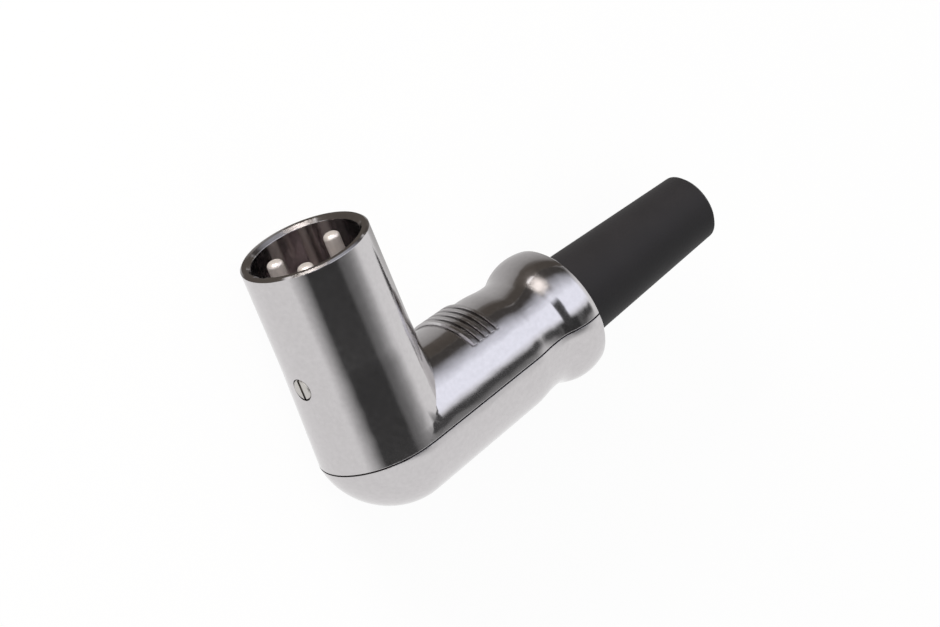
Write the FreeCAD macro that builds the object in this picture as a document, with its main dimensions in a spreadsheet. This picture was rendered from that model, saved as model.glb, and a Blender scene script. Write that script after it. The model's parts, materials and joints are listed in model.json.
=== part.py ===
import FreeCAD, Part
import os
import Sketcher

# Right-angle three-pole cable plug, lying on its side.
# X runs along the arm towards the cord, Y along the barrel towards the mouth, Z is up.
# The pieces are drawn about the crossing of the two axes, which lies on the seam of the
# two castings, and each one's placement then brings the origin to the middle of the mouth.

DRIVING_SIZES = {
    # barrel that enters the socket, and the elbow under it
    "barrel_diameter": 19.0,
    "barrel_wall": 1.45,
    "barrel_height": 31.3,
    "mating_length": 15.6,
    "rim_bevel": 0.3,
    "rim_lead": 0.5,
    "elbow_step": 0.45,
    "dome_rake": 0.14,
    "wall": 1.6,
    "room_start": 0.5,
    # arm and bell: lengths along the arm, each from the one before, and steps in radius
    "arm_straight": 1.5,
    "arm_taper": 0.75,
    "arm_reach": 1.4,
    "waist_length": 6.0,
    "waist_dip": 0.6,
    "waist_share": 0.5,
    "swell_length": 5.1,
    "bell_swell": 1.3,
    "swell_share": 0.42,
    "bell_length": 2.4,
    "bell_fall": 0.3,
    "bell_bevel": 0.3,
    # groove that shows where the two castings meet
    "seam_width": 0.24,
    "seam_depth": 0.25,
    # ribbed grip on the arm
    "grip_offset": 2.3,
    "grip_pitch": 1.15,
    "grip_ribs": 5,
    "grip_height": 0.45,
    "grip_valley": 0.12,
    "grip_crown": 0.42,
    "grip_flank": 0.14,
    "grip_angle": 92,
    # keyway and latch pocket inside the mouth
    "key_width": 2.4,
    "key_depth": 0.7,
    "latch_width": 4.4,
    "latch_height": 4.0,
    "latch_drop": 6.5,
    "latch_depth": 0.95,
    # contact insert, its ground ring and the throat that carries them
    "insert_depth": 14.0,
    "insert_thickness": 5.0,
    "insert_rim": 0.2,
    "insert_boss_height": 3.0,
    "insert_edge": 0.4,
    "ring_thickness": 0.35,
    "throat_length": 3.45,
    "tag_width": 2.4,
    "tag_length": 6.6,
    "tag_eye": 1.1,
    # contact pins: the circle that they stand on lies in from the bore's wall
    "pin_diameter": 2.4,
    "pin_margin": 3.285,
    "pin_angle": 135,
    "pin_setback": 0.8,
    "pin_nose": 0.7,
    "root_diameter": 2.8,
    "collar_diameter": 3.1,
    "collar_height": 1.1,
    "cup_diameter": 2.8,
    "cup_length": 4.4,
    "cup_bore": 2.0,
    "cup_depth": 3.4,
    "cup_notch": 2.2,
    # strain relief
    "clamp_offset": 7.8,
    "clamp_width": 4.6,
    "clamp_relief": 0.7,
    "saddle_thickness": 1.0,
    "saddle_width": 3.8,
    "saddle_margin": 0.9,
    "saddle_edge": 1.6,
    "clamp_screw_diameter": 2.0,
    "clamp_head_diameter": 3.5,
    "clamp_head_height": 1.3,
    "clamp_screw_length": 4.6,
    # cover screw with its two posts, and the lip that centres the cover
    "cover_screw_offset": 2.65,
    "cover_screw_diameter": 2.5,
    "cover_head_diameter": 4.2,
    "cover_head_height": 1.5,
    "cover_head_depth": 6.2,
    "cover_screw_length": 11.0,
    "post_wall": 0.9,
    "post_floor": 1.6,
    "lip_height": 1.2,
    "lip_thickness": 0.8,
    "lip_root": 2.4,
    # screw that keeps the insert in, and what all the screws share
    "insert_screw_diameter": 2.0,
    "insert_screw_inset": 3.5,
    "insert_head_diameter": 3.2,
    "insert_head_height": 0.8,
    "insert_screw_length": 3.4,
    "slot_width": 0.5,
    "slot_depth": 0.55,
    "head_bevel": 0.16,
    "point_bevel": 0.5,
    "tap_depth": 1.0,
    # bend relief
    "flange_margin": 0.3,
    "flange_lip": 1.45,
    "flange_thickness": 2.4,
    "flange_inset": 2.3,
    "boot_length": 28.7,
    "boot_taper": 1.4,
    "boot_wall": 1.9,
    "boot_edge": 0.5,
    "gate_gap": 1.25,
    "gate_thickness": 2.2,
    # clearances
    "fit_gap": 0.03,
    "loose_gap": 0.1,
}

document = FreeCAD.newDocument("right_angle_plug")
sheet = document.addObject("Spreadsheet::Sheet", "size")
for row, (alias, value) in enumerate(DRIVING_SIZES.items(), 1):
    sheet.set(f"A{row}", alias)
    sheet.set(f"B{row}", str(value))
    sheet.setAlias(f"B{row}", alias)
document.recompute()

# Heights in the barrel that several pieces share, from the crossing of the axes
MOUTH = "size.barrel_height"
INSERT_FACE = "(size.barrel_height - size.insert_depth)"
INSERT_BACK = f"({INSERT_FACE} - size.insert_thickness)"
LEDGE = f"({INSERT_BACK} - size.ring_thickness)"
BOSS_BACK = f"({INSERT_BACK} - size.insert_boss_height)"
TAPER_HEIGHT = "(size.barrel_height - size.mating_length)"
INSERT_SCREW_HEIGHT = f"({INSERT_FACE} - size.insert_screw_inset)"

# Radii of the barrel and of what it holds
BARREL_RADIUS = "(size.barrel_diameter / 2)"
BORE_RADIUS = f"({BARREL_RADIUS} - size.barrel_wall)"
ELBOW_RADIUS = f"({BARREL_RADIUS} + size.elbow_step)"
BARREL_SIDE = (
    f"max({BARREL_RADIUS}; {ELBOW_RADIUS}"
    f" - size.elbow_step * {INSERT_SCREW_HEIGHT} / {TAPER_HEIGHT})"
)
INSERT_HEAD_SEAT = f"({BARREL_SIDE} - size.insert_head_height)"
PIN_CIRCLE_RADIUS = f"({BORE_RADIUS} - size.pin_margin)"
BOSS_RADIUS = f"({PIN_CIRCLE_RADIUS} + size.root_diameter / 2 + size.insert_rim)"
RING_INNER_RADIUS = f"({BOSS_RADIUS} + size.loose_gap)"
TAG_PLACE = f"({RING_INNER_RADIUS} + size.loose_gap)"
THROAT_RADIUS = (
    f"(sqrt(({TAG_PLACE} + size.ring_thickness) ^ 2 + (size.tag_width / 2) ^ 2)"
    " + size.loose_gap / 2)"
)

# Distances along the arm, from the barrel's axis
COVER_SCREW_PLACE = f"({ELBOW_RADIUS} + size.cover_screw_offset)"
GRIP_START = f"({COVER_SCREW_PLACE} + size.grip_offset)"
CLAMP_PLACE = f"({COVER_SCREW_PLACE} + size.clamp_offset)"
ARM_END = f"({CLAMP_PLACE} + size.arm_reach)"
WAIST_PLACE = f"({ARM_END} + size.waist_length)"
CROWN_PLACE = f"({WAIST_PLACE} + size.swell_length)"
BELL_END = f"({CROWN_PLACE} + size.bell_length)"
FLANGE_END = f"({BELL_END} - size.flange_inset)"
FLANGE_START = f"({FLANGE_END} - size.flange_thickness)"
GATE_START = f"({FLANGE_START} - size.gate_thickness)"
FAR = f"({BELL_END} + size.barrel_height)"

# Radii along the arm
ARM_RADIUS = f"({ELBOW_RADIUS} - size.arm_taper)"
WAIST_RADIUS = f"({ARM_RADIUS} - size.waist_dip)"
CROWN_RADIUS = f"({WAIST_RADIUS} + size.bell_swell)"
BELL_RADIUS = f"({CROWN_RADIUS} - size.bell_fall)"
FLANGE_RADIUS = f"({CROWN_RADIUS} - size.wall - size.flange_margin)"
BOOT_RADIUS = f"({FLANGE_RADIUS} - size.flange_lip)"
TIP_RADIUS = f"({BOOT_RADIUS} - size.boot_taper)"
BOOT_BORE_RADIUS = f"({TIP_RADIUS} - size.boot_wall)"
GATE_RADIUS = f"({BOOT_BORE_RADIUS} + size.gate_gap)"

# Half sizes across the strain relief
SADDLE_REACH = f"({ARM_RADIUS} - size.wall - size.saddle_margin)"
CLAMP_SCREW_SIDE = f"({SADDLE_REACH} - size.saddle_edge)"
SADDLE_RADIUS = (
    f"({CLAMP_SCREW_SIDE} - size.clamp_head_diameter / 2 - size.saddle_thickness"
    " - size.loose_gap / 2)"
)
POST_RADIUS = "(size.cover_screw_diameter / 2 + size.post_wall)"


def number(formula):
    return float(sheet.evalExpression(formula))


def bind(thing, formulas):
    for field, formula in formulas.items():
        thing.setExpression(field, formula)
    return thing


def fix(sketch, constraint, formula):
    index = sketch.addConstraint(constraint)
    sketch.setExpression(f"Constraints[{index}]", formula)


# Closed outline through the corners. An arc replaces the side that starts at its corner,
# and bulges to the left (+1) or to the right (-1) of the way round.
def outline(sketch, corners, arcs=None):
    arcs = arcs or {}
    spots = [FreeCAD.Vector(number(x), number(y), 0) for x, y in corners]
    sides = []
    for index, start in enumerate(spots):
        finish = spots[(index + 1) % len(spots)]
        if index in arcs:
            formula, bulge = arcs[index]
            chord = finish - start
            radius = number(formula)
            sagitta = radius - (radius**2 - (chord.Length / 2) ** 2) ** 0.5
            left = FreeCAD.Vector(-chord.y, chord.x, 0).normalize()
            edge = Part.Arc(start, (start + finish) / 2 + left * bulge * sagitta, finish)
        else:
            edge = Part.LineSegment(start, finish)
        side = sketch.addGeometry(edge)
        forward = sketch.getPoint(side, 1).distanceToPoint(start) < 1e-6
        sides.append((side, 1, 2) if forward else (side, 2, 1))
    for index, (side, start, finish) in enumerate(sides):
        after, after_start, _ = sides[(index + 1) % len(sides)]
        sketch.addConstraint(Sketcher.Constraint("Coincident", side, finish, after, after_start))
        for axis, formula in zip(("DistanceX", "DistanceY"), corners[index]):
            place = Sketcher.Constraint(axis, -1, 1, side, start, number(formula))
            fix(sketch, place, formula)
        if index in arcs:
            formula = arcs[index][0]
            fix(sketch, Sketcher.Constraint("Radius", side, number(formula)), formula)
    return sketch


def circle(sketch, centre, radius):
    x, y = (number(formula) for formula in centre)
    side = sketch.addGeometry(
        Part.Circle(FreeCAD.Vector(x, y, 0), FreeCAD.Vector(0, 0, 1), number(radius))
    )
    fix(sketch, Sketcher.Constraint("Radius", side, number(radius)), radius)
    for axis, value, formula in zip(("DistanceX", "DistanceY"), (x, y), centre):
        fix(sketch, Sketcher.Constraint(axis, -1, 1, side, 3, value), formula)
    return sketch


# Loose solids that the castings are put together from
TURNS = {
    "X": FreeCAD.Rotation(FreeCAD.Vector(0, 1, 0), 90),
    "Y": FreeCAD.Rotation(FreeCAD.Vector(1, 0, 0), -90),
}


def set_at(thing, corner):
    return bind(thing, {f"Placement.Base.{a}": formula for a, formula in zip("xyz", corner)})


# Brings a finished piece from the crossing of the axes to its place from the mouth's middle
def seated(piece, x="0", y="0", z="0"):
    return set_at(piece, (x, f"{y} - size.barrel_height", z))


def rod(name, axis, start, length, radius):
    made = document.addObject("Part::Cylinder", name)
    made.Placement.Rotation = TURNS[axis]
    bind(made, {"Radius": radius, "Height": length})
    return set_at(made, start)


def block(name, corner, extent):
    made = document.addObject("Part::Box", name)
    bind(made, dict(zip(("Length", "Width", "Height"), extent)))
    return set_at(made, corner)


def turned(name, axis, corners, arcs=None, angle="360"):
    profile = document.addObject("Sketcher::SketchObject", f"{name}_profile")
    outline(profile, corners, arcs)
    made = document.addObject("Part::Revolution", name)
    made.Source = profile
    made.Axis = FreeCAD.Vector(1, 0, 0) if axis == "X" else FreeCAD.Vector(0, 1, 0)
    made.Solid = True
    made.Symmetric = True
    return bind(made, {"Angle": angle})


def joined(name, things):
    made = document.addObject("Part::MultiFuse", name)
    made.Shapes = things
    return made


def common(name, things):
    made = document.addObject("Part::MultiCommon", name)
    made.Shapes = things
    return made


def less(name, base, tools):
    made = document.addObject("Part::Cut", name)
    made.Base = base
    made.Tool = tools[0] if len(tools) == 1 else joined(f"{name}_tools", tools)
    return made


# Two arcs that leave and arrive level, with the turning point a share of the way along
def ogee(start_x, start_r, end_x, end_r, share):
    length = f"({end_x} - {start_x})"
    rise = f"({end_r} - {start_r})"
    both = f"abs({length} / sin(2 * atan({rise} / {length})))"
    middle = (f"{start_x} + {share} * {length}", f"{start_r} + {share} * {rise}")
    return middle, f"{share} * {both}", f"(1 - {share}) * {both}"


# Outer form of the arm and the bell, as a turning about the arm's axis
def arm_form(name, inset):
    elbow = f"({ELBOW_RADIUS} - {inset})"
    arm = f"({ARM_RADIUS} - {inset})"
    waist = f"({WAIST_RADIUS} - {inset})"
    crown = f"({CROWN_RADIUS} - {inset})"
    bell = f"({BELL_RADIUS} - {inset})"
    end = f"({BELL_END} - {inset})"
    dip, dip_first, dip_second = ogee(ARM_END, arm, WAIST_PLACE, waist, "size.waist_share")
    swell, swell_first, swell_second = ogee(
        WAIST_PLACE, waist, CROWN_PLACE, crown, "size.swell_share"
    )
    fall_length = f"({end} - size.bell_bevel - {CROWN_PLACE})"
    corners = [
        ("0", "0"),
        ("0", elbow),
        ("size.arm_straight", elbow),
        (ARM_END, arm),
        dip,
        (WAIST_PLACE, waist),
        swell,
        (CROWN_PLACE, crown),
        (f"{end} - size.bell_bevel", bell),
        (end, f"{bell} - size.bell_bevel"),
        (end, "0"),
    ]
    arcs = {
        3: (dip_first, 1),
        4: (dip_second, -1),
        5: (swell_first, -1),
        6: (swell_second, 1),
        7: (f"({fall_length} ^ 2 + size.bell_fall ^ 2) / (2 * size.bell_fall)", 1),
    }
    return turned(name, "X", corners, arcs)


# Outer form of the barrel: straight where it enters the socket, and wider towards the elbow
def barrel_form(name, inset):
    side = f"{BARREL_RADIUS} - {inset}"
    corners = [
        ("0", "0"),
        (f"{ELBOW_RADIUS} - {inset}", "0"),
        (side, TAPER_HEIGHT),
        (side, f"{MOUTH} - size.rim_bevel"),
        (f"{side} - size.rim_bevel", MOUTH),
        ("0", MOUTH),
    ]
    return turned(name, "Y", corners)


# Space inside the arm: room for the wires, the gate round the cord, and the seat of the
# boot's flange. It starts in front of the barrel's axis, where the elbow's round room ends.
def arm_room(name):
    wide = f"{ELBOW_RADIUS} - size.wall"
    narrow = f"{ARM_RADIUS} - size.wall"
    waist = f"{WAIST_RADIUS} - size.wall"
    flange = f"{FLANGE_RADIUS} + size.fit_gap"
    boot = f"{BOOT_RADIUS} + size.fit_gap"
    corners = [
        ("size.room_start", "0"),
        ("size.room_start", wide),
        ("size.arm_straight", wide),
        (ARM_END, narrow),
        (f"{WAIST_PLACE} - size.wall", waist),
        (GATE_START, waist),
        (GATE_START, GATE_RADIUS),
        (f"{FLANGE_START} - size.fit_gap", GATE_RADIUS),
        (f"{FLANGE_START} - size.fit_gap", flange),
        (f"{FLANGE_END} + size.fit_gap", flange),
        (f"{FLANGE_END} + size.fit_gap", boot),
        (FAR, boot),
        (FAR, "0"),
    ]
    return turned(name, "X", corners)


# The elbow's end is a quarter ball that leans forward the deeper it gets, so that it
# starts on the barrel's circle at the seam and runs smoothly into the arm's underside.
def elbow_end(name, arm):
    radius = number(ELBOW_RADIUS)
    rake = number("size.dome_rake")
    reach = 2 * radius
    corner = FreeCAD.Vector(-reach, -reach, -reach)
    ball = Part.makeSphere(radius).common(Part.makeBox(reach, reach, 2 * reach, corner))
    lean = FreeCAD.Matrix()
    lean.A12 = -rake
    dome = ball.transformGeometry(lean).Solids[0]
    foot = FreeCAD.Vector(0, 0, -reach)
    slope = FreeCAD.Vector(rake * reach, -reach, 0)
    back = FreeCAD.Vector(-reach, -reach, 0)
    side = Part.makePolygon([foot, foot + slope, foot + back, foot])
    behind = Part.Face(side).extrude(FreeCAD.Vector(0, 0, 2 * reach))
    lower = Part.makeBox(number(FAR), reach, 2 * reach, FreeCAD.Vector(0, -reach, -reach))
    made = document.addObject("Part::Feature", name)
    made.Shape = arm.Shape.common(lower).cut(behind).fuse(dome).removeSplitter().Solids[0]
    return made


# Rods round the cover screw, on the centre line between the insert and the strain relief
def cover_rod(name, start, length, radius):
    return rod(name, "Y", (COVER_SCREW_PLACE, start, "0"), length, radius)


# Rods round the two clamp screws, on either side of the cord
def clamp_rods(name, start, length, radius):
    return [
        rod(
            f"{name}_{side}",
            "Y",
            (CLAMP_PLACE, start, f"{sign} * {CLAMP_SCREW_SIDE}"),
            length,
            radius,
        )
        for side, sign in (("upper", "1"), ("lower", "-1"))
    ]


def upper_half(name):
    return block(name, (f"-{FAR}", "0", f"-{FAR}"), (f"2 * {FAR}", FAR, f"2 * {FAR}"))


def make_grip():
    def arm_side(x):
        run = f"({ARM_END} - size.arm_straight)"
        return f"({ELBOW_RADIUS} - size.arm_taper * ({x} - size.arm_straight) / {run})"

    corners = [(GRIP_START, f"{arm_side(GRIP_START)} - size.wall / 2")]
    for rib in range(int(number("size.grip_ribs"))):
        start = f"({GRIP_START} + {rib} * size.grip_pitch)"
        rise = f"({start} + size.grip_flank * size.grip_pitch)"
        drop = f"({rise} + size.grip_crown * size.grip_pitch)"
        end = f"({drop} + size.grip_flank * size.grip_pitch)"
        corners += [
            (start, f"{arm_side(start)} + size.grip_valley"),
            (rise, f"{arm_side(rise)} + size.grip_height"),
            (drop, f"{arm_side(drop)} + size.grip_height"),
            (end, f"{arm_side(end)} + size.grip_valley"),
        ]
    corners.append((end, f"{arm_side(end)} - size.wall / 2"))
    return turned("grip", "X", corners, angle="size.grip_angle")


def make_shell_body():
    arm = common("arm_upper", [arm_form("arm_outer", "0"), upper_half("above_seam")])
    form = joined("body_form", [arm, barrel_form("barrel_outer", "0"), make_grip()])
    core_arm = common(
        "seam_arm_upper", [arm_form("arm_seam", "size.seam_depth"), upper_half("above_seam_core")]
    )
    seam_core = joined("body_seam_core", [core_arm, barrel_form("barrel_seam", "size.seam_depth")])
    band = block(
        "body_seam_band",
        (f"-{FAR}", "0", f"-{FAR}"),
        (f"2 * {FAR}", "size.seam_width", f"2 * {FAR}"),
    )
    seam = less("body_seam", band, [seam_core])
    low = f"({ELBOW_RADIUS} - size.wall)"
    throat = f"({LEDGE} - size.throat_length)"
    barrel_room = turned(
        "barrel_room",
        "Y",
        [
            ("0", "-1"),
            (low, "-1"),
            (low, f"{throat} - ({low} - {THROAT_RADIUS})"),
            (THROAT_RADIUS, throat),
            (THROAT_RADIUS, LEDGE),
            (BORE_RADIUS, LEDGE),
            (BORE_RADIUS, f"{MOUTH} - size.rim_lead"),
            (f"{BORE_RADIUS} + size.rim_lead + 1", f"{MOUTH} + 1"),
            ("0", f"{MOUTH} + 1"),
        ],
    )
    seat_block = block(
        "clamp_seat_block",
        (f"{CLAMP_PLACE} - size.clamp_width / 2", "0", f"-{FAR}"),
        ("size.clamp_width", FAR, f"2 * {FAR}"),
    )
    groove = rod(
        "clamp_seat_groove", "X", ("0", "0", "0"), FAR, f"{SADDLE_RADIUS} + size.clamp_relief"
    )
    seat = less("clamp_seat", seat_block, [groove])
    post = cover_rod("body_post", "0", FAR, POST_RADIUS)
    upper_room = common("arm_room_upper", [arm_room("arm_room_body"), upper_half("above_seam_room")])
    core = less("body_core", joined("body_room", [barrel_room, upper_room]), [seat, post])
    keyway = block(
        "keyway",
        (f"-({BORE_RADIUS} + size.key_depth)", INSERT_FACE, "-size.key_width / 2"),
        (BORE_RADIUS, "size.insert_depth + 1", "size.key_width"),
    )
    latch = block(
        "latch_pocket",
        (
            f"-({BORE_RADIUS} + size.latch_depth)",
            f"{MOUTH} - size.latch_drop - size.latch_height",
            "-size.latch_width / 2",
        ),
        (BORE_RADIUS, "size.latch_height", "size.latch_width"),
    )
    cover_reach = "size.cover_screw_length - size.cover_head_depth + size.tap_depth"
    clamp_reach = "size.clamp_screw_length - size.saddle_thickness + size.tap_depth"
    cover_tap = cover_rod(
        "cover_tap", "-1", f"1 + {cover_reach}", "size.cover_screw_diameter / 2 + size.fit_gap"
    )
    clamp_taps = clamp_rods(
        "clamp_tap", "-1", f"1 + {clamp_reach}", "size.clamp_screw_diameter / 2 + size.fit_gap"
    )
    screw_hole = rod(
        "insert_screw_hole",
        "X",
        (f"-{FAR}", INSERT_SCREW_HEIGHT, "0"),
        f"{FAR} - {BORE_RADIUS} / 2",
        "size.insert_screw_diameter / 2 + size.loose_gap",
    )
    head_seat = rod(
        "insert_head_pocket",
        "X",
        (f"-{FAR}", INSERT_SCREW_HEIGHT, "0"),
        f"{FAR} - {INSERT_HEAD_SEAT}",
        "size.insert_head_diameter / 2 + size.loose_gap",
    )
    holes = [keyway, latch, screw_hole, head_seat, cover_tap, *clamp_taps]
    return seated(less("shell_body", form, [core, seam, *holes]))


def make_shell_cover():
    arm = arm_form("cover_arm", "0")
    document.recompute()
    form = elbow_end("cover_form", arm)
    room_end = document.addObject("Part::Sphere", "cover_room_end")
    bind(room_end, {"Radius": f"{ELBOW_RADIUS} - size.wall"})
    set_at(room_end, ("size.room_start", "0", "0"))
    room = joined("cover_room", [arm_room("arm_room_cover"), room_end])
    neck = cover_rod("cover_neck", f"-{FAR}", FAR, POST_RADIUS)
    cup = cover_rod(
        "cover_cup",
        f"-{FAR}",
        f"{FAR} - size.cover_head_depth + size.post_floor",
        "size.cover_head_diameter / 2 + size.loose_gap + size.post_wall",
    )
    core = less("cover_core", room, [neck, cup])
    lip_start = ("0", "-size.lip_root", "0")
    lip_length = "size.lip_root + size.lip_height"
    lip_radius = f"{ELBOW_RADIUS} - size.wall - size.loose_gap"
    lip_outside = rod("lip_outside", "Y", lip_start, lip_length, lip_radius)
    lip_inside = rod("lip_inside", "Y", lip_start, lip_length, f"{lip_radius} - size.lip_thickness")
    front = block("front_of_axis", ("0", f"-{FAR}", f"-{FAR}"), (FAR, f"2 * {FAR}", f"2 * {FAR}"))
    lip = less("cover_lip", lip_outside, [lip_inside, front])
    hollow = less("cover_hollow", form, [core])
    hole = cover_rod(
        "cover_hole", f"-{FAR}", f"{FAR} + 1", "size.cover_screw_diameter / 2 + size.loose_gap"
    )
    pocket = cover_rod(
        "cover_pocket",
        f"-{FAR}",
        f"{FAR} - size.cover_head_depth",
        "size.cover_head_diameter / 2 + size.loose_gap",
    )
    return seated(less("shell_cover", joined("cover_with_lip", [hollow, lip]), [hole, pocket]))


# Pieces made one feature after another, each in a body of its own
def new_body(label):
    body = document.addObject("PartDesign::Body", label)
    body.Label = label
    return body


def sketch_on(body, name, plane, offset=None):
    sketch = body.newObject("Sketcher::SketchObject", name)
    support = next(item for item in body.Origin.OriginFeatures if item.Role == plane)
    sketch.AttachmentSupport = [(support, "")]
    sketch.MapMode = "FlatFace"
    if offset:
        bind(sketch, {"AttachmentOffset.Base.z": offset})
    return sketch


def revolve(body, name, sketch, axis):
    made = body.newObject("PartDesign::Revolution", name)
    made.Profile = sketch
    made.ReferenceAxis = (sketch, [axis])
    return made


# Cuts along the sketch's normal and against it, by half of the length each way
def cut(body, name, sketch, length):
    made = body.newObject("PartDesign::Pocket", name)
    made.Profile = sketch
    made.Midplane = True
    return bind(made, {"Length": length})


def make_insert():
    body = new_body("contact_insert")
    side = f"({BORE_RADIUS} - size.fit_gap)"
    tap_reach = "size.insert_screw_length + size.tap_depth"
    profile = outline(
        sketch_on(body, "insert_profile", "XY_Plane"),
        [
            ("0", BOSS_BACK),
            (f"{BOSS_RADIUS} - size.insert_edge", BOSS_BACK),
            (BOSS_RADIUS, f"{BOSS_BACK} + size.insert_edge"),
            (BOSS_RADIUS, INSERT_BACK),
            (side, INSERT_BACK),
            (side, f"{INSERT_FACE} - size.insert_edge"),
            (f"{side} - size.insert_edge", INSERT_FACE),
            ("0", INSERT_FACE),
        ],
    )
    revolve(body, "insert_disc", profile, "V_Axis")
    holes = sketch_on(body, "pin_hole_places", "XZ_Plane")
    for angle in PIN_ANGLES.values():
        circle(holes, pin_place(angle), "size.root_diameter / 2 + size.fit_gap")
    cut(body, "pin_holes", holes, f"2 * {MOUTH}")
    tap = sketch_on(body, "screw_tap_place", "YZ_Plane", f"-{side}")
    circle(tap, (INSERT_SCREW_HEIGHT, "0"), "size.insert_screw_diameter / 2 + size.fit_gap")
    cut(body, "screw_tap", tap, f"2 * ({side} - {INSERT_HEAD_SEAT} + {tap_reach})")
    return seated(body)


# Pin 3 points along the arm, and pins 1 and 2 lie behind the barrel's axis
PIN_ANGLES = {"pin_1": "size.pin_angle", "pin_2": "-size.pin_angle", "pin_3": "0"}


def pin_place(angle):
    return (
        f"{PIN_CIRCLE_RADIUS} * cos({angle})",
        f"{PIN_CIRCLE_RADIUS} * sin({angle})",
    )


def make_pin(label, angle):
    body = new_body(label)
    shank = "size.pin_diameter / 2"
    root = "size.root_diameter / 2"
    cup = "size.cup_diameter / 2"
    collar = "size.collar_diameter / 2"
    tip = f"{MOUTH} - size.pin_setback"
    collar_foot = f"({BOSS_BACK} - size.collar_height)"
    foot = f"({collar_foot} - size.cup_length)"
    profile = outline(
        sketch_on(body, f"{label}_profile", "XY_Plane"),
        [
            ("0", f"{foot} + size.cup_depth"),
            ("size.cup_bore / 2", f"{foot} + size.cup_depth"),
            ("size.cup_bore / 2", foot),
            (cup, foot),
            (cup, collar_foot),
            (collar, collar_foot),
            (collar, BOSS_BACK),
            (root, BOSS_BACK),
            (root, INSERT_FACE),
            (shank, INSERT_FACE),
            (shank, f"{tip} - size.pin_nose"),
            (f"{shank} - size.pin_nose", tip),
            ("0", tip),
        ],
        {10: ("size.pin_nose", -1)},
    )
    revolve(body, f"{label}_turning", profile, "V_Axis")
    notch = outline(
        sketch_on(body, f"{label}_notch_profile", "XY_Plane"),
        [
            ("0", f"{foot} - 1"),
            (f"2 * {cup}", f"{foot} - 1"),
            (f"2 * {cup}", f"{foot} + size.cup_notch"),
            ("0", f"{foot} + size.cup_notch"),
        ],
    )
    cut(body, f"{label}_notch", notch, f"4 * {cup}")
    body.Placement.Rotation = FreeCAD.Rotation(FreeCAD.Vector(0, 1, 0), -number(angle))
    bind(body, {"Placement.Rotation.Angle": f"-({angle})"})
    x, z = pin_place(angle)
    return seated(body, x, "0", z)


# Flat ring under the insert, with its solder tag bent down into the elbow
def make_ground_ring():
    body = new_body("ground_ring")
    outer = f"({BORE_RADIUS} - size.fit_gap)"
    profile = outline(
        sketch_on(body, "ring_profile", "XY_Plane"),
        [
            (RING_INNER_RADIUS, LEDGE),
            (outer, LEDGE),
            (outer, INSERT_BACK),
            (RING_INNER_RADIUS, INSERT_BACK),
        ],
    )
    revolve(body, "ring_disc", profile, "V_Axis")
    tag = outline(
        sketch_on(body, "tag_profile", "XY_Plane", TAG_PLACE),
        [
            ("-size.tag_width / 2", f"{INSERT_BACK} - size.tag_length"),
            ("size.tag_width / 2", f"{INSERT_BACK} - size.tag_length"),
            ("size.tag_width / 2", INSERT_BACK),
            ("-size.tag_width / 2", INSERT_BACK),
        ],
    )
    circle(tag, ("0", f"{INSERT_BACK} - size.tag_length + size.tag_width / 2"), "size.tag_eye / 2")
    strip = body.newObject("PartDesign::Pad", "tag_strip")
    strip.Profile = tag
    bind(strip, {"Length": "size.ring_thickness"})
    return seated(body)


# Strap over the cord: two flat ears and an arch between them, folded from one strip
def make_saddle():
    body = new_body("clamp_saddle")
    ear = SADDLE_REACH
    thick = "size.saddle_thickness"
    inner = SADDLE_RADIUS
    outer = f"({inner} + {thick})"
    shoulder = f"sqrt({outer} ^ 2 - {thick} ^ 2)"
    section = outline(
        sketch_on(body, "saddle_section", "YZ_Plane", f"{CLAMP_PLACE} - size.saddle_width / 2"),
        [
            ("0", inner),
            ("0", ear),
            (f"-{thick}", ear),
            (f"-{thick}", shoulder),
            (f"-{outer}", "0"),
            (f"-{thick}", f"-{shoulder}"),
            (f"-{thick}", f"-{ear}"),
            ("0", f"-{ear}"),
            ("0", f"-{inner}"),
            (f"-{inner}", "0"),
        ],
        {3: (outer, -1), 4: (outer, -1), 8: (inner, 1), 9: (inner, 1)},
    )
    strap = body.newObject("PartDesign::Pad", "saddle_strap")
    strap.Profile = section
    bind(strap, {"Length": "size.saddle_width"})
    holes = sketch_on(body, "saddle_hole_places", "XZ_Plane")
    for sign in ("1", "-1"):
        circle(
            holes,
            (CLAMP_PLACE, f"{sign} * {CLAMP_SCREW_SIDE}"),
            "size.clamp_screw_diameter / 2 + size.loose_gap",
        )
    cut(body, "saddle_holes", holes, "4 * size.saddle_thickness")
    return seated(body)


# Cheese-head screw drawn upright: the head hangs under its own origin, the shank stands on it
def make_screw(label, head, height, shank, length):
    body = new_body(label)
    profile = outline(
        sketch_on(body, f"{label}_profile", "XZ_Plane"),
        [
            ("0", f"-({height})"),
            (f"{head} / 2 - size.head_bevel", f"-({height})"),
            (f"{head} / 2", f"size.head_bevel - {height}"),
            (f"{head} / 2", "0"),
            (f"{shank} / 2", "0"),
            (f"{shank} / 2", f"{length} - size.point_bevel"),
            (f"{shank} / 2 - size.point_bevel", length),
            ("0", length),
        ],
    )
    revolve(body, f"{label}_turning", profile, "V_Axis")
    slot = outline(
        sketch_on(body, f"{label}_slot_profile", "XZ_Plane"),
        [
            ("-size.slot_width / 2", f"-2 * {height}"),
            ("size.slot_width / 2", f"-2 * {height}"),
            ("size.slot_width / 2", f"size.slot_depth - {height}"),
            ("-size.slot_width / 2", f"size.slot_depth - {height}"),
        ],
    )
    cut(body, f"{label}_slot", slot, f"2 * {head}")
    return body


def make_cover_screw():
    screw = make_screw(
        "cover_screw",
        "size.cover_head_diameter",
        "size.cover_head_height",
        "size.cover_screw_diameter",
        "size.cover_screw_length",
    )
    screw.Placement.Rotation = TURNS["Y"]
    return seated(screw, COVER_SCREW_PLACE, "-size.cover_head_depth", "0")


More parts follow.
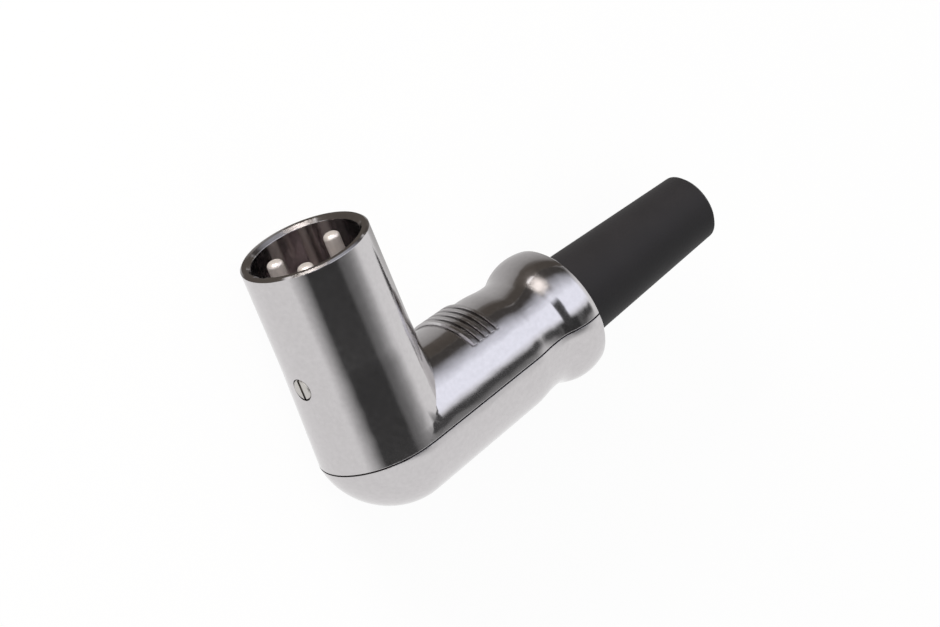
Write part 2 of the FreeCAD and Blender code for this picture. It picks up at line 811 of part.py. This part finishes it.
def make_clamp_screw(label, sign):
    screw = make_screw(
        label,
        "size.clamp_head_diameter",
        "size.clamp_head_height",
        "size.clamp_screw_diameter",
        "size.clamp_screw_length",
    )
    screw.Placement.Rotation = TURNS["Y"]
    side = f"{sign} * {CLAMP_SCREW_SIDE}"
    return seated(screw, CLAMP_PLACE, "-size.saddle_thickness", side)


def make_insert_screw():
    screw = make_screw(
        "insert_screw",
        "size.insert_head_diameter",
        "size.insert_head_height",
        "size.insert_screw_diameter",
        "size.insert_screw_length",
    )
    screw.Placement.Rotation = TURNS["X"]
    return seated(screw, f"-{INSERT_HEAD_SEAT}", INSERT_SCREW_HEIGHT, "0")


# Rubber bend relief: a hollow taper with the flange that the bell holds
def make_boot():
    body = new_body("boot")
    end = f"({BELL_END} + size.boot_length)"
    profile = outline(
        sketch_on(body, "boot_profile", "XY_Plane"),
        [
            (FLANGE_START, BOOT_BORE_RADIUS),
            (end, BOOT_BORE_RADIUS),
            (end, f"{TIP_RADIUS} - size.boot_edge"),
            (f"{end} - size.boot_edge", TIP_RADIUS),
            (BELL_END, BOOT_RADIUS),
            (FLANGE_END, BOOT_RADIUS),
            (FLANGE_END, FLANGE_RADIUS),
            (FLANGE_START, FLANGE_RADIUS),
        ],
    )
    revolve(body, "boot_turning", profile, "H_Axis")
    return seated(body)


pieces = [
    make_shell_body(),
    make_shell_cover(),
    make_insert(),
    make_ground_ring(),
    *[make_pin(label, angle) for label, angle in PIN_ANGLES.items()],
    make_insert_screw(),
    make_saddle(),
    make_clamp_screw("clamp_screw_1", "1"),
    make_clamp_screw("clamp_screw_2", "-1"),
    make_cover_screw(),
    make_boot(),
]
document.recompute()

for thing in document.Objects:
    if "Invalid" in thing.State or "Error" in thing.State:
        raise RuntimeError(f"{thing.Label} failed: {thing.State}")
os.makedirs("parts", exist_ok=True)
for piece in pieces:
    shape = piece.Shape
    if shape.isNull() or not shape.isValid() or not shape.Solids:
        raise RuntimeError(f"{piece.Label} has no sound shape")
    shape.exportStep(f"parts/{piece.Label}.step")
    print(piece.Label, len(shape.Solids), round(shape.Volume, 2))
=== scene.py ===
import json
from math import cos, radians, sin

import bmesh
import bpy
from mathutils import Matrix, Vector


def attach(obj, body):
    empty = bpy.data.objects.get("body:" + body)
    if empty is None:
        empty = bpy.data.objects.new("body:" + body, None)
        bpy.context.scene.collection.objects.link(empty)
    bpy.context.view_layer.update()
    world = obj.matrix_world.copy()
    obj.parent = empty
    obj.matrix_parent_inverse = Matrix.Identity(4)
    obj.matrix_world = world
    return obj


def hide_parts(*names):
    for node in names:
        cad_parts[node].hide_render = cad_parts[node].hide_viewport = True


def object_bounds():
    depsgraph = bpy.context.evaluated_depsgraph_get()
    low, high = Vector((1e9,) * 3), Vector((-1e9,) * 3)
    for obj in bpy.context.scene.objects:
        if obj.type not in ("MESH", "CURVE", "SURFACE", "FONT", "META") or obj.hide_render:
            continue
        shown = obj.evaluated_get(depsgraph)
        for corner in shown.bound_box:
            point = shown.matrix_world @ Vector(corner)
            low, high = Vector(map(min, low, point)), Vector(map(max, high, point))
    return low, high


# Right-angle audio plug: plated castings, moulded insert, silvered pins and a rubber bend relief.
# Lengths below are in millimetres, and mm turns them into the frame's metres.
mm = 0.001
white = (1, 1, 1, 1)

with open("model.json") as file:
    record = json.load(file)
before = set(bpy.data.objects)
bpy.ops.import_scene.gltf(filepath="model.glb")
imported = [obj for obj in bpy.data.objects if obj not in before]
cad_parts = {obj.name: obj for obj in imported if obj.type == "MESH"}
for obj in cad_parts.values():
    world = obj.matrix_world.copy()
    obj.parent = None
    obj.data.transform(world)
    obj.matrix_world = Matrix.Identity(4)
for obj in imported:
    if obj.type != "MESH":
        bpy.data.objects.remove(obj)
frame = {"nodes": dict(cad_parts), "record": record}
cadLow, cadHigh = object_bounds()
scene = bpy.context.scene
print("frame loaded,", len(frame["nodes"]), "nodes")


# Turns an sRGB hex colour to the linear values that a socket takes
def linearColour(hexText):
    channels = [int(hexText[i:i + 2], 16) / 255 for i in (1, 3, 5)]
    return tuple(c / 12.92 if c <= 0.04045 else ((c + 0.055) / 1.055) ** 2.4 for c in channels) + (1.0,)


# Adds a node. A setting is a property of the node or a socket's value, and a link gives a socket
# its source. A socket goes by its name or its number.
def addNode(tree, kind, settings=None, links=None):
    node = tree.nodes.new(kind)
    for name, value in (settings or {}).items():
        if isinstance(name, str) and hasattr(node, name):
            setattr(node, name, value)
        else:
            node.inputs[name].default_value = value
    for name, source in (links or {}).items():
        tree.links.new(source, node.inputs[name])
    return node


def startMaterial(name):
    material = bpy.data.materials.new(name)
    material.use_nodes = True
    material.node_tree.nodes.clear()
    return material, material.node_tree


def finishMaterial(material, shader):
    addNode(material.node_tree, "ShaderNodeOutputMaterial", links={"Surface": shader})
    return material


# The scale at which a noise has features of about this size
def perSize(sizeMm):
    return 1 / (sizeMm * mm)


# Bright nickel plate on a zinc die casting. It mirrors the studio softly. The casting's skin
# under the plate makes the reflections swim a little, and the grit of the tumbled surface
# speckles them. The grit is drawn coarser than it is, so that it shows. Grooves and seams get
# painted shade: their colour darkens where ambient occlusion finds them closed in.
nickelPlate = {
    "colour": "#bebbbc",
    "paleColour": "#cdcacb",
    "paintedShadeColour": "#3b3637",
    "paintedShadeReach": 0.8,
    "paintedShadeRange": (0.35, 0.85),  # a groove open to less than the first share of the light gets the full painted shade
    "patchMm": 0.7,
    "roughness": (0.09, 0.15),
    "skinMm": 2.6,
    "skinHeight": 0.006,
    "grainMm": 0.35,
    "grainHeight": 0.0006,
    "edgeRadius": 0.1,
    "metallic": 1.0,
}
# Silver plate on turned brass: pale and a little warm, with rounded noses. A thin milky tarnish
# makes it scatter some of the light.
silverPlate = {
    "colour": "#dcd5d0",
    "paleColour": "#e4dfdb",
    # The dark colour below is painted shade for hollows and seams, kept faint here; the tin and zinc
    # plate copy it.
    "paintedShadeColour": "#8d8579",
    "paintedShadeReach": 0.3,
    "paintedShadeRange": (0.2, 0.8),
    "patchMm": 1.2,
    "roughness": (0.3, 0.4),
    "skinMm": 1.4,
    "skinHeight": 0.002,
    "grainMm": 0.2,
    "grainHeight": 0.0006,
    "edgeRadius": 0.35,
    "metallic": 0.68,
}
# Tin on stamped brass: greyer and duller than the pins
tinnedBrass = dict(
    silverPlate,
    colour="#c2beb6",
    paleColour="#cbc8c1",
    roughness=(0.3, 0.42),
    edgeRadius=0.05,
    metallic=1.0,
)
# Zinc plate on the small steel screws and on the strap over the cord: grey, with a soft shine
platedSteel = dict(
    silverPlate,
    colour="#bdbab6",
    paleColour="#c8c5c1",
    roughness=(0.24, 0.34),
    edgeRadius=0.05,
    metallic=1.0,
)


def makePlatedMetal(name, look):
    material, tree = startMaterial(name)
    place = addNode(tree, "ShaderNodeTexCoord").outputs["Object"]
    patchSettings = {"Scale": perSize(look["patchMm"]), "Detail": 3.0}
    patches = addNode(tree, "ShaderNodeTexNoise", patchSettings, {"Vector": place}).outputs["Fac"]
    colour = addNode(
        tree,
        "ShaderNodeMix",
        {"data_type": "RGBA", 6: linearColour(look["colour"]), 7: linearColour(look["paleColour"])},
        {"Factor": patches},
    )
    # Painted shade: where ambient occlusion finds the surface closed in (grooves, seams, hollows), the
    # colour darkens towards the dark shade colour.
    paintedShadeReach = look["paintedShadeReach"] * mm
    occlusion = addNode(tree, "ShaderNodeAmbientOcclusion", {"samples": 8, "Distance": paintedShadeReach})
    fullShadeAt, noShadeAt = look["paintedShadeRange"]
    unshadedShare = addNode(
        tree, "ShaderNodeMapRange", {"From Min": fullShadeAt, "From Max": noShadeAt}, {"Value": occlusion.outputs["AO"]}
    )
    shadedColour = addNode(
        tree,
        "ShaderNodeMix",
        {"data_type": "RGBA", 6: linearColour(look["paintedShadeColour"])},
        {"Factor": unshadedShare.outputs["Result"], 7: colour.outputs[2]},
    )
    low, high = look["roughness"]
    roughness = addNode(tree, "ShaderNodeMapRange", {"To Min": low, "To Max": high}, {"Value": patches})
    edges = addNode(tree, "ShaderNodeBevel", {"samples": 6, "Radius": look["edgeRadius"] * mm})
    skinSettings = {"Scale": perSize(look["skinMm"]), "Detail": 1.0}
    skinNoise = addNode(tree, "ShaderNodeTexNoise", skinSettings, {"Vector": place})
    skin = addNode(
        tree,
        "ShaderNodeBump",
        {"Strength": 1.0, "Distance": look["skinHeight"] * mm},
        {"Height": skinNoise.outputs["Fac"], "Normal": edges.outputs["Normal"]},
    )
    grainSettings = {"Scale": perSize(look["grainMm"]), "Detail": 2.0}
    grainNoise = addNode(tree, "ShaderNodeTexNoise", grainSettings, {"Vector": place})
    grain = addNode(
        tree,
        "ShaderNodeBump",
        {"Strength": 1.0, "Distance": look["grainHeight"] * mm},
        {"Height": grainNoise.outputs["Fac"], "Normal": skin.outputs["Normal"]},
    )
    shader = addNode(
        tree,
        "ShaderNodeBsdfPrincipled",
        {"Metallic": look["metallic"]},
        {
            "Base Color": shadedColour.outputs[2],
            "Roughness": roughness.outputs["Result"],
            "Normal": grain.outputs["Normal"],
        },
    )
    return finishMaterial(material, shader.outputs["BSDF"])


# Moulded rubber: dull black, with the fine matt grain of the mould, drawn coarse so that it shows
bootRubber = {
    "colour": "#141315",
    "paleColour": "#1e1c1e",
    "patchMm": 6.0,
    "roughness": (0.55, 0.7),
    "specular": 0.25,
    "grainMm": 0.45,
    "grainHeight": 0.03,
}
# Moulded glass-filled nylon: a warm mid grey, nearly matt, paler where the fibres lie near the surface
insertNylon = {
    "colour": "#665b5d",
    "paleColour": "#776b6d",
    "patchMm": 2.0,
    "roughness": (0.42, 0.55),
    "specular": 0.5,
    "grainMm": 0.3,
    "grainHeight": 0.008,
}


def makeMoulding(name, look):
    material, tree = startMaterial(name)
    place = addNode(tree, "ShaderNodeTexCoord").outputs["Object"]
    patchSettings = {"Scale": perSize(look["patchMm"]), "Detail": 4.0}
    patches = addNode(tree, "ShaderNodeTexNoise", patchSettings, {"Vector": place}).outputs["Fac"]
    colour = addNode(
        tree,
        "ShaderNodeMix",
        {"data_type": "RGBA", 6: linearColour(look["colour"]), 7: linearColour(look["paleColour"])},
        {"Factor": patches},
    )
    low, high = look["roughness"]
    roughness = addNode(tree, "ShaderNodeMapRange", {"To Min": low, "To Max": high}, {"Value": patches})
    grainSettings = {"Scale": perSize(look["grainMm"]), "Detail": 3.0}
    grainNoise = addNode(tree, "ShaderNodeTexNoise", grainSettings, {"Vector": place})
    grain = addNode(
        tree,
        "ShaderNodeBump",
        {"Strength": 1.0, "Distance": look["grainHeight"] * mm},
        {"Height": grainNoise.outputs["Fac"]},
    )
    shader = addNode(
        tree,
        "ShaderNodeBsdfPrincipled",
        {"Metallic": 0.0, "IOR": 1.5, "Specular IOR Level": look["specular"]},
        {
            "Base Color": colour.outputs[2],
            "Roughness": roughness.outputs["Result"],
            "Normal": grain.outputs["Normal"],
        },
    )
    return finishMaterial(material, shader.outputs["BSDF"])


materials = {
    "nickel_casting": makePlatedMetal("nickelPlate", nickelPlate),
    "insert_plastic": makeMoulding("insertNylon", insertNylon),
    "silvered_contact": makePlatedMetal("silverPlate", silverPlate),
    "tinned_brass": makePlatedMetal("tinnedBrass", tinnedBrass),
    "plated_steel": makePlatedMetal("platedSteel", platedSteel),
    "boot_rubber": makeMoulding("bootRubber", bootRubber),
}
slotOf = {part["node"]: part["material_slot"] for part in frame["record"]["subparts"]}
for nodeName, node in frame["nodes"].items():
    node.data.materials.clear()
    node.data.materials.append(materials[slotOf[nodeName]])
print("materials made:", len(materials))


# A skin is a node's own surface, merged and shaded round except at real edges. The pieces that
# no side shows keep their nodes.
smoothSkin = {
    "nodes": (
        "shell_body",
        "shell_cover",
        "contact_insert",
        "pin_1",
        "pin_2",
        "pin_3",
        "insert_screw",
        "cover_screw",
        "boot",
    ),
    "mergeMm": 0.0005,
    "edgeAngle": 24.0,
}


def makeSkin(nodeName, look):
    mesh = frame["nodes"][nodeName].data.copy()
    build = bmesh.new()
    build.from_mesh(mesh)
    bmesh.ops.remove_doubles(build, verts=build.verts, dist=look["mergeMm"] * mm)
    for face in build.faces:
        face.smooth = True
    for edge in build.edges:
        edge.smooth = edge.is_manifold and edge.calc_face_angle(0.0) < radians(look["edgeAngle"])
    build.to_mesh(mesh)
    build.free()
    skin = bpy.data.objects.new(f"{nodeName}_skin", mesh)
    scene.collection.objects.link(skin)
    areaNormals = skin.modifiers.new("areaNormals", "WEIGHTED_NORMAL")
    areaNormals.keep_sharp = True
    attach(skin, "root")
    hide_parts(nodeName)


for nodeName in smoothSkin["nodes"]:
    makeSkin(nodeName, smoothSkin)
print("skins made:", len(smoothSkin["nodes"]))


# The camera's axes and place in the plug's frame. The plug stands mouth up in the picture.
viewFrom = {
    "right": (0.6804, -0.3529, 0.6423),
    "up": (0.5147, 0.8540, -0.0760),
    "back": (-0.5217, 0.3824, 0.7627),
    "place": (-419.5, 299.3, 644.3),
    "lens": 230.55,
    "sensor": 36.0,
    "clip": (10, 20000),
}


def makeCamera(look):
    data = bpy.data.cameras.new("camera")
    data.sensor_width = look["sensor"]
    data.lens = look["lens"]
    data.clip_start, data.clip_end = (length * mm for length in look["clip"])
    camera = bpy.data.objects.new("camera", data)
    scene.collection.objects.link(camera)
    turn = Matrix((look["right"], look["up"], look["back"])).transposed().to_quaternion()
    camera.matrix_world = Matrix.LocRotScale(Vector(look["place"]) * mm, turn, None)
    scene.camera = camera


makeCamera(viewFrom)
print("camera placed")

# Strengths of one are white to the eye. The room lights the plug with its own strength.
studio = {
    "floorHalf": 1500,
    "floorColour": "#f4f3f2",
    "floorGlow": 0.94,
    "roomStrength": 0.75,
    "seenStrength": 1.0,
}
# The lamp stands before the mouth and lights what is inside it
mouthLamp = {
    "place": (-150, 640, 150),
    "target": (0, -8, 0),
    "size": 300,
    "watts": 7.0,
    "colour": "#fff8f2",
}

# Each arch is a sheet bent round the plug, along the barrel's axis Y or the arm's axis X. Its
# angles go from +X or +Y up towards +Z. It starts at the first value, is full between the next
# two and gone at the last, and so does it along its run.
archSteps = 24
arches = {
    "darkArch": {
        "along": "Y",
        "radius": 500,
        "angles": (34, 84, 137, 170),
        "run": (-360, -225, -40, 40),
        "colour": "#ffffff",
        "level": 0.045,
    },
    "lightArch": {
        "along": "X",
        "radius": 640,
        "angles": (10, 20, 80, 96),
        "run": (-460, -360, 900, 1100),
        "colour": "#f1f4ff",
        "level": 1.5,
    },
    "darkHorizon": {
        "along": "X",
        "radius": 480,
        "angles": (-3, -2, 15, 54),
        "run": (-160, -60, 750, 950),
        "colour": "#fff6ee",
        "level": 0.07,
    },
    "seamArch": {
        "along": "X",
        "radius": 460,
        "angles": (90, 98, 107, 122),
        "run": (40, 150, 520, 640),
        "colour": "#ffffff",
        "level": 0.1,
    },
    "mouthArch": {
        "along": "X",
        "radius": 420,
        "angles": (-9, -4, 26, 44),
        "run": (-440, -400, -30, 60),
        "colour": "#fff1e2",
        "level": 0.08,
    },
    "waistArch": {
        "along": "X",
        "radius": 430,
        "angles": (50, 60, 100, 110),
        "run": (-220, -170, -75, -45),
        "colour": "#ffffff",
        "level": 0.06,
    },
}
# Dark cloths lie on the floor, one beside the arm and one before the mouth
cloths = {
    "armCloth": {
        "lift": 0.3,
        "x": (6, 18, 420, 460),
        "y": (-45, 12, 440, 460),
        "colour": "#fff1e2",
        "level": 0.1,
    },
    "mouthCloth": {
        "lift": 0.4,
        "x": (-60, -40, 30, 60),
        "y": (-2, 1, 60, 90),
        "colour": "#fff1e2",
        "level": 0.12,
    },
}


def makeStagePiece(name, build, material):
    mesh = bpy.data.meshes.new(name)
    build.to_mesh(mesh)
    build.free()
    mesh.materials.append(material)
    piece = bpy.data.objects.new(name, mesh)
    scene.collection.objects.link(piece)
    return piece


# Only the plug's reflections see a card
def hideFromCamera(card):
    card.visible_camera = False
    card.visible_diffuse = False
    card.visible_transmission = False
    card.visible_shadow = False


# Zero before the first and after the last of the four limits, and one between the middle two
def addPlateau(tree, value, limits, unit):
    start, fullFrom, fullTo, end = (limit * unit for limit in limits)
    riseSettings = {"From Min": start, "From Max": fullFrom}
    rise = addNode(tree, "ShaderNodeMapRange", riseSettings, {"Value": value})
    fallSettings = {"From Min": end, "From Max": fullTo}
    fall = addNode(tree, "ShaderNodeMapRange", fallSettings, {"Value": value})
    both = {0: rise.outputs["Result"], 1: fall.outputs["Result"]}
    return addNode(tree, "ShaderNodeMath", {"operation": "MULTIPLY"}, both).outputs[0]


# A glowing sheet with soft edges. The product of the two shares fades it into what lies behind.
def finishCard(material, tree, look, shares):
    share = addNode(tree, "ShaderNodeMath", {"operation": "MULTIPLY"}, dict(enumerate(shares)))
    clear = addNode(tree, "ShaderNodeBsdfTransparent")
    glowSettings = {"Color": linearColour(look["colour"]), "Strength": look["level"]}
    glow = addNode(tree, "ShaderNodeEmission", glowSettings)
    parts = {"Fac": share.outputs[0], 1: clear.outputs["BSDF"], 2: glow.outputs["Emission"]}
    mixed = addNode(tree, "ShaderNodeMixShader", links=parts)
    return finishMaterial(material, mixed.outputs["Shader"])


def makeArch(name, look):
    build = bmesh.new()
    start, end = radians(look["angles"][0]), radians(look["angles"][-1])
    reach = look["radius"] * mm
    alongBarrel = look["along"] == "Y"
    side, rise = reach * cos(start), reach * sin(start)
    for run in (look["run"][0] * mm, look["run"][-1] * mm):
        build.verts.new((side, run, rise) if alongBarrel else (run, side, rise))
    build.edges.new(build.verts)
    bmesh.ops.spin(
        build,
        geom=build.verts[:] + build.edges[:],
        cent=(0, 0, 0),
        axis=(0, -1, 0) if alongBarrel else (1, 0, 0),
        angle=end - start,
        steps=archSteps,
    )
    material, tree = startMaterial(name)
    place = addNode(tree, "ShaderNodeTexCoord").outputs["Object"]
    axes = addNode(tree, "ShaderNodeSeparateXYZ", links={"Vector": place}).outputs
    flat, run = (axes["X"], axes["Y"]) if alongBarrel else (axes["Y"], axes["X"])
    angle = addNode(tree, "ShaderNodeMath", {"operation": "ARCTAN2"}, {0: axes["Z"], 1: flat})
    shares = (
        addPlateau(tree, angle.outputs[0], look["angles"], radians(1)),
        addPlateau(tree, run, look["run"], mm),
    )
    hideFromCamera(makeStagePiece(name, build, finishCard(material, tree, look, shares)))


def makeCloth(name, look):
    build = bmesh.new()
    bmesh.ops.create_grid(build, x_segments=1, y_segments=1, size=0.5)
    lowX, highX, lowY, highY = look["x"][0], look["x"][-1], look["y"][0], look["y"][-1]
    bmesh.ops.scale(build, verts=build.verts, vec=((highX - lowX) * mm, (highY - lowY) * mm, 1))
    middle = ((lowX + highX) / 2 * mm, (lowY + highY) / 2 * mm, cadLow.z + look["lift"] * mm)
    bmesh.ops.translate(build, verts=build.verts, vec=middle)
    material, tree = startMaterial(name)
    place = addNode(tree, "ShaderNodeTexCoord").outputs["Object"]
    axes = addNode(tree, "ShaderNodeSeparateXYZ", links={"Vector": place}).outputs
    shares = (addPlateau(tree, axes["X"], look["x"], mm), addPlateau(tree, axes["Y"], look["y"], mm))
    hideFromCamera(makeStagePiece(name, build, finishCard(material, tree, look, shares)))


def makeLamp(name, look):
    data = bpy.data.lights.new(name, "AREA")
    data.size = look["size"] * mm
    data.energy = look["watts"]
    data.color = linearColour(look["colour"])[:3]
    lamp = bpy.data.objects.new(name, data)
    scene.collection.objects.link(lamp)
    place, target = Vector(look["place"]) * mm, Vector(look["target"]) * mm
    turn = (place - target).to_track_quat("Z", "Y")
    lamp.matrix_world = Matrix.LocRotScale(place, turn, None)


# One where a ray comes from the camera, from a mirror or through glass, else zero
def addSeenByEye(tree):
    rays = addNode(tree, "ShaderNodeLightPath").outputs
    seen = rays["Is Camera Ray"]
    for kind in ("Is Glossy Ray", "Is Transmission Ray"):
        either = addNode(tree, "ShaderNodeMath", {"operation": "MAXIMUM"}, {0: seen, 1: rays[kind]})
        seen = either.outputs[0]
    return seen


# White paper. What the eye sees of it is mostly its own glow, and the rest takes the shadow.
def makeFloor(look):
    build = bmesh.new()
    bmesh.ops.create_grid(build, x_segments=1, y_segments=1, size=look["floorHalf"] * mm)
    bmesh.ops.translate(build, verts=build.verts, vec=(0, 0, cadLow.z))
    material, tree = startMaterial("floorPaper")
    seen = {"Value": addSeenByEye(tree)}
    share = addNode(tree, "ShaderNodeMapRange", {"To Max": look["floorGlow"]}, seen)
    paper = addNode(tree, "ShaderNodeBsdfDiffuse", {"Color": linearColour(look["floorColour"])})
    glow = addNode(tree, "ShaderNodeEmission", {"Color": white, "Strength": look["seenStrength"]})
    parts = {"Fac": share.outputs["Result"], 1: paper.outputs["BSDF"], 2: glow.outputs["Emission"]}
    mixed = addNode(tree, "ShaderNodeMixShader", links=parts)
    makeStagePiece("floor", build, finishMaterial(material, mixed.outputs["Shader"]))


def makeRoom(look):
    scene.world = bpy.data.worlds.new("room")
    scene.world.use_nodes = True
    tree = scene.world.node_tree
    tree.nodes.clear()
    levels = {"To Min": look["roomStrength"], "To Max": look["seenStrength"]}
    level = addNode(tree, "ShaderNodeMapRange", levels, {"Value": addSeenByEye(tree)})
    strength = {"Strength": level.outputs["Result"]}
    room = addNode(tree, "ShaderNodeBackground", {"Color": white}, strength)
    addNode(tree, "ShaderNodeOutputWorld", links={"Surface": room.outputs["Background"]})


makeFloor(studio)
makeRoom(studio)
makeLamp("mouthLamp", mouthLamp)
for archName, arch in arches.items():
    makeArch(archName, arch)
for clothName, cloth in cloths.items():
    makeCloth(clothName, cloth)
scene.view_settings.view_transform = "Standard"
print("studio made:", len(arches), "arches,", len(cloths), "cloths")
